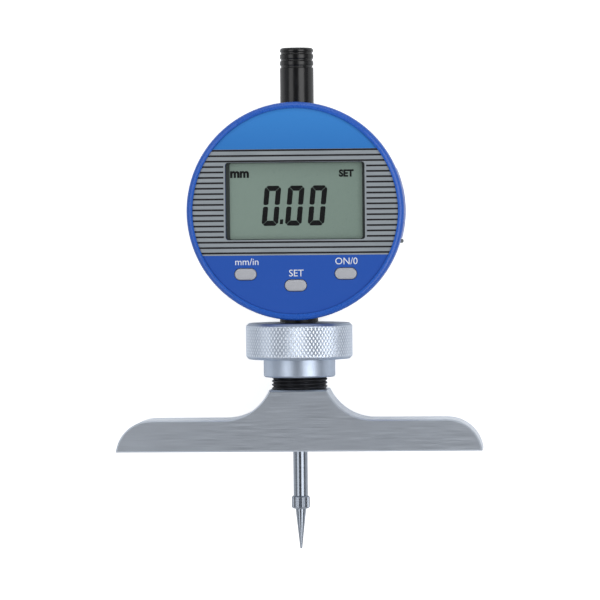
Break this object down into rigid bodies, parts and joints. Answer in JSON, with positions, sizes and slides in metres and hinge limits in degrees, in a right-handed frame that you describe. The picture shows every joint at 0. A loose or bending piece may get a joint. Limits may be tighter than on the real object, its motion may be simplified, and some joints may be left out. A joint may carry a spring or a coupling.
{
  "type": "digital depth gauge",
  "caption": "Digital depth gauge: round display head held by its stem in a knurled collet clamp on a steel depth base, with a needle contact point.",
  "frame": {"origin": "where the spindle axis meets the measuring face of the base", "axes": "+X to the right along the base, +Y up the spindle axis towards the dust cap, +Z towards the reader"},
  "size_m": [0.1014, 0.139, 0.0296],
  "materials": {
    "base_steel": "satin",
    "black_steel": "satin",
    "nut_chrome": "satin",
    "spindle_steel": "polished",
    "small_steel": "satin",
    "spring_steel": "satin",
    "bush_brass": "satin",
    "contact_brass": "satin",
    "case_silver": "satin",
    "cap_black": "satin",
    "bezel_blue": "satin",
    "face_silver": "satin",
    "lens_clear": "gloss",
    "display_grey": "satin",
    "holder_white": "matte",
    "elastomer": "matte",
    "board_green": "satin",
    "key_grey": "matte",
    "catch_grey": "matte",
    "carrier_aluminium": "satin",
    "scale_glass": "gloss",
    "ring_rubber": "matte",
    "cell_steel": "satin"
  },
  "bodies": {
    "depth_base": {"base": "base_steel", "collet_bush": "black_steel"},
    "nut": {"clamp_nut": "nut_chrome"},
    "head": {"stem": "black_steel", "upper_bush": "bush_brass", "dust_cap": "cap_black", "rear_case": "case_silver", "rear_cover": "case_silver", "cover_screws": "small_steel", "front_cover": "bezel_blue", "face_plate": "face_silver", "lens": "lens_clear", "lcd_module": "display_grey", "lcd_holder": "holder_white", "contact_strips": "elastomer", "main_board": "board_green", "board_screws": "small_steel", "switch_domes": "small_steel", "negative_contact": "contact_brass", "positive_contact": "contact_brass", "drawer_catch": "catch_grey", "stop_ring": "ring_rubber", "return_spring": "spring_steel"},
    "measuring_spindle": {"spindle": "spindle_steel", "contact_point": "spindle_steel", "scale_carrier": "carrier_aluminium", "scale_strip": "scale_glass", "guide_pin": "small_steel"},
    "unit_key": {"unit_button": "key_grey"},
    "set_key": {"set_button": "key_grey"},
    "zero_key": {"zero_button": "key_grey"},
    "drawer": {"battery_drawer": "bezel_blue", "battery_cell": "cell_steel"}
  },
  "joints": [
    {"name": "nut_turn", "type": "hinge", "parent": "depth_base", "child": "nut", "pos_m": [0, 0.028, 0], "axis": [0, 1, 0], "range_deg": [0, 270]},
    {"name": "head_slide", "type": "slide", "parent": "depth_base", "child": "head", "axis": [0, 1, 0], "range_m": [0, 0.012]},
    {"name": "spindle_slide", "type": "slide", "parent": "head", "child": "measuring_spindle", "axis": [0, 1, 0], "range_m": [0, 0.0127], "stiffness_N_per_m": 25, "springref_m": -0.02, "deforming": ["return_spring"]},
    {"name": "unit_press", "type": "slide", "parent": "head", "child": "unit_key", "axis": [0, 0, -1], "range_m": [0, 0.0006], "stiffness_N_per_m": 700},
    {"name": "set_press", "type": "slide", "parent": "head", "child": "set_key", "axis": [0, 0, -1], "range_m": [0, 0.0006], "stiffness_N_per_m": 700},
    {"name": "zero_press", "type": "slide", "parent": "head", "child": "zero_key", "axis": [0, 0, -1], "range_m": [0, 0.0006], "stiffness_N_per_m": 700},
    {"name": "drawer_slide", "type": "slide", "parent": "head", "child": "drawer", "axis": [1, 0, 0], "range_m": [0, 0.022]}
  ]
}
